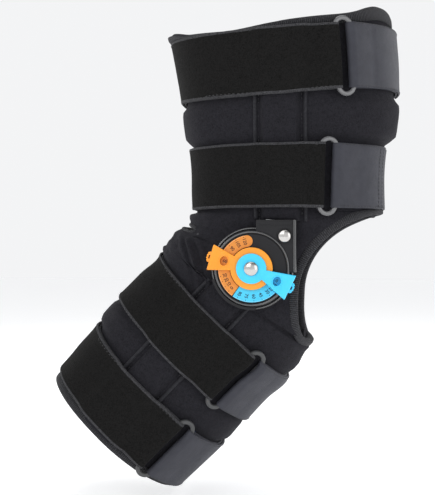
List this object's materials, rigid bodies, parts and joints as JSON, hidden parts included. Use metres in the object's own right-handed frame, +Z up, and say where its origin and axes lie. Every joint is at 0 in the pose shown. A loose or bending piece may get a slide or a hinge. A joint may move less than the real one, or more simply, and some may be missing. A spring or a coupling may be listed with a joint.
{
  "type": "hinged knee brace",
  "caption": "Soft wrap-around knee brace with a dial hinge on each side, settable bend stops, bars in sewn pockets, ring straps and an open kneecap.",
  "frame": {"origin": "on the hinge axis, midway between the two dial hinges, at the middle of the knee", "axes": "+X forward to the kneecap, +Y to the inner side of a right leg, +Z up along the thigh; drawn with the knee bent 44 degrees"},
  "size_m": [0.2799, 0.1757, 0.3751],
  "materials": {
    "wrap_fabric": "soft laminated cloth, fuzzy",
    "strap_fabric": "loop velvet",
    "grey_webbing": "smooth coated webbing",
    "ring_plastic": "moulded, satin",
    "pad_fabric": "cloth over foam",
    "rivet_steel": "polished",
    "spring_steel": "bright",
    "black_plastic": "moulded, semi-gloss",
    "bar_aluminium": "satin",
    "orange_scale": "printed",
    "blue_scale": "printed",
    "orange_plastic": "moulded",
    "blue_plastic": "moulded"
  },
  "bodies": {
    "thigh": {"thigh_wrap": "wrap_fabric", "thigh_bar_outer": "bar_aluminium", "upper_cover_outer": "black_plastic", "flexion_scale_outer": "orange_scale", "extension_scale_outer": "blue_scale", "pivot_rivet_outer": "rivet_steel", "thigh_bar_rivet_outer": "rivet_steel", "pivot_backing_outer": "black_plastic", "condyle_pad_outer": "pad_fabric", "side_panel_outer": "wrap_fabric", "thigh_bar_pocket_outer": "wrap_fabric", "thigh_bar_inner": "bar_aluminium", "upper_cover_inner": "black_plastic", "flexion_scale_inner": "orange_scale", "extension_scale_inner": "blue_scale", "pivot_rivet_inner": "rivet_steel", "thigh_bar_rivet_inner": "rivet_steel", "pivot_backing_inner": "black_plastic", "condyle_pad_inner": "pad_fabric", "side_panel_inner": "wrap_fabric", "thigh_bar_pocket_inner": "wrap_fabric", "upper_thigh_strap": "strap_fabric", "upper_thigh_ring_tab": "grey_webbing", "upper_thigh_ring": "ring_plastic", "lower_thigh_strap": "strap_fabric", "lower_thigh_ring_tab": "grey_webbing", "lower_thigh_ring": "ring_plastic"},
    "calf": {"calf_wrap": "wrap_fabric", "calf_bar_outer": "bar_aluminium", "lower_cover_outer": "black_plastic", "calf_bar_pocket_outer": "wrap_fabric", "calf_bar_inner": "bar_aluminium", "lower_cover_inner": "black_plastic", "calf_bar_pocket_inner": "wrap_fabric", "upper_calf_strap": "strap_fabric", "upper_calf_ring_tab": "grey_webbing", "upper_calf_ring": "ring_plastic", "lower_calf_strap": "strap_fabric", "lower_calf_ring_tab": "grey_webbing", "lower_calf_ring": "ring_plastic"},
    "flexion_stop_outer": {"flexion_stop_outer": "orange_plastic", "flexion_release_spring_outer": "spring_steel"},
    "flexion_release_tab_outer": {"flexion_release_tab_outer": "orange_plastic"},
    "flexion_stop_inner": {"flexion_stop_inner": "orange_plastic", "flexion_release_spring_inner": "spring_steel"},
    "flexion_release_tab_inner": {"flexion_release_tab_inner": "orange_plastic"},
    "extension_stop_outer": {"extension_stop_outer": "blue_plastic", "extension_release_spring_outer": "spring_steel"},
    "extension_release_tab_outer": {"extension_release_tab_outer": "blue_plastic"},
    "extension_stop_inner": {"extension_stop_inner": "blue_plastic", "extension_release_spring_inner": "spring_steel"},
    "extension_release_tab_inner": {"extension_release_tab_inner": "blue_plastic"}
  },
  "joints": [
    {"name": "knee_hinge", "type": "hinge", "parent": "thigh", "child": "calf", "pos_m": [0, 0, 0], "axis": [0, 1, 0], "range_deg": [-44, 16], "deforming": ["side_panel_outer", "side_panel_inner"]},
    {"name": "flexion_setting_outer", "type": "hinge", "parent": "thigh", "child": "flexion_stop_outer", "pos_m": [0, -0.078, 0], "axis": [0, 1, 0], "range_deg": [0, 60]},
    {"name": "flexion_release_outer", "type": "slide", "parent": "flexion_stop_outer", "child": "flexion_release_tab_outer", "axis": [-0.9632, 0, 0.2689], "range_m": [0, 0.002], "stiffness_N_per_m": 400, "deforming": ["flexion_release_spring_outer"]},
    {"name": "flexion_setting_inner", "type": "hinge", "parent": "thigh", "child": "flexion_stop_inner", "pos_m": [0, 0.078, 0], "axis": [0, 1, 0], "range_deg": [0, 60]},
    {"name": "flexion_release_inner", "type": "slide", "parent": "flexion_stop_inner", "child": "flexion_release_tab_inner", "axis": [-0.9632, 0, 0.2689], "range_m": [0, 0.002], "stiffness_N_per_m": 400, "deforming": ["flexion_release_spring_inner"]},
    {"name": "extension_setting_outer", "type": "hinge", "parent": "thigh", "child": "extension_stop_outer", "pos_m": [0, -0.078, 0], "axis": [0, 1, 0], "range_deg": [0, 44]},
    {"name": "extension_release_outer", "type": "slide", "parent": "extension_stop_outer", "child": "extension_release_tab_outer", "axis": [0.8988, 0, -0.4384], "range_m": [0, 0.002], "stiffness_N_per_m": 400, "deforming": ["extension_release_spring_outer"]},
    {"name": "extension_setting_inner", "type": "hinge", "parent": "thigh", "child": "extension_stop_inner", "pos_m": [0, 0.078, 0], "axis": [0, 1, 0], "range_deg": [0, 44]},
    {"name": "extension_release_inner", "type": "slide", "parent": "extension_stop_inner", "child": "extension_release_tab_inner", "axis": [0.8988, 0, -0.4384], "range_m": [0, 0.002], "stiffness_N_per_m": 400, "deforming": ["extension_release_spring_inner"]}
  ]
}
